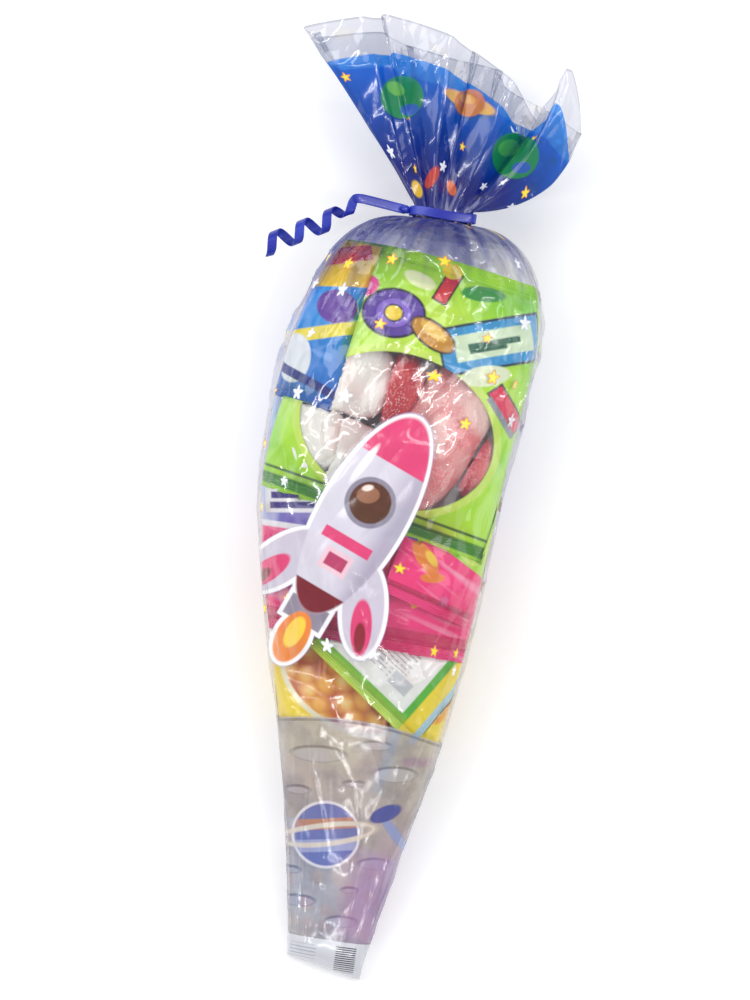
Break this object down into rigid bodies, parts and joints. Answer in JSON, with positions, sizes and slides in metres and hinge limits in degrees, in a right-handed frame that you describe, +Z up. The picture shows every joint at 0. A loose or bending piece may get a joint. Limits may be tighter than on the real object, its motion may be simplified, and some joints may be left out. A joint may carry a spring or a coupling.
{
  "type": "filled candy cone",
  "caption": "Clear printed film cone bag of sealed sweet packs, gathered and tied at the neck with a curled ribbon under a fanned frill; one rigid piece.",
  "frame": {"origin": "middle of the footprint, on the surface that the cone lies on", "axes": "+Y along the cone from its tip to the frill, +Z up from the surface through the front of the bag, +X to the right seen from the front"},
  "size_m": [0.1568, 0.5132, 0.092],
  "materials": {
    "film": "clear polypropylene film, printed blue towards the neck and grey over the tip",
    "ribbon": "glossy curled polypropylene ribbon, royal blue",
    "wafer_pack": "metallised film, blue with yellow and red",
    "marshmallow_pack": "glossy film, lime green with a clear window",
    "chew_pack": "glossy film, green to yellow-green",
    "popcorn_pack": "metallised film, magenta with a purple head",
    "gummy_pack": "glossy film, white panel with a green border",
    "nougat_pack": "glossy film, yellow with a pale edge",
    "snack_pack": "glossy film, yellow with a picture of orange puffs",
    "jelly_pack": "glossy film, pink and blue",
    "gummy": "sugared gummy sweet, red to pink",
    "marshmallow": "dusted marshmallow, white to pale pink"
  },
  "bodies": {
    "root": {"cone_bag": "film", "curling_ribbon": "ribbon", "wafer_pack": "wafer_pack", "marshmallow_pack": "marshmallow_pack", "chew_pack": "chew_pack", "popcorn_pack": "popcorn_pack", "gummy_pack": "gummy_pack", "nougat_pack": "nougat_pack", "snack_pack": "snack_pack", "jelly_pack": "jelly_pack", "sugared_gummy_1": "gummy", "marshmallow_1": "marshmallow", "marshmallow_2": "marshmallow", "sugared_gummy_2": "gummy", "marshmallow_3": "marshmallow", "sugared_gummy_3": "gummy"}
  },
  "joints": []
}
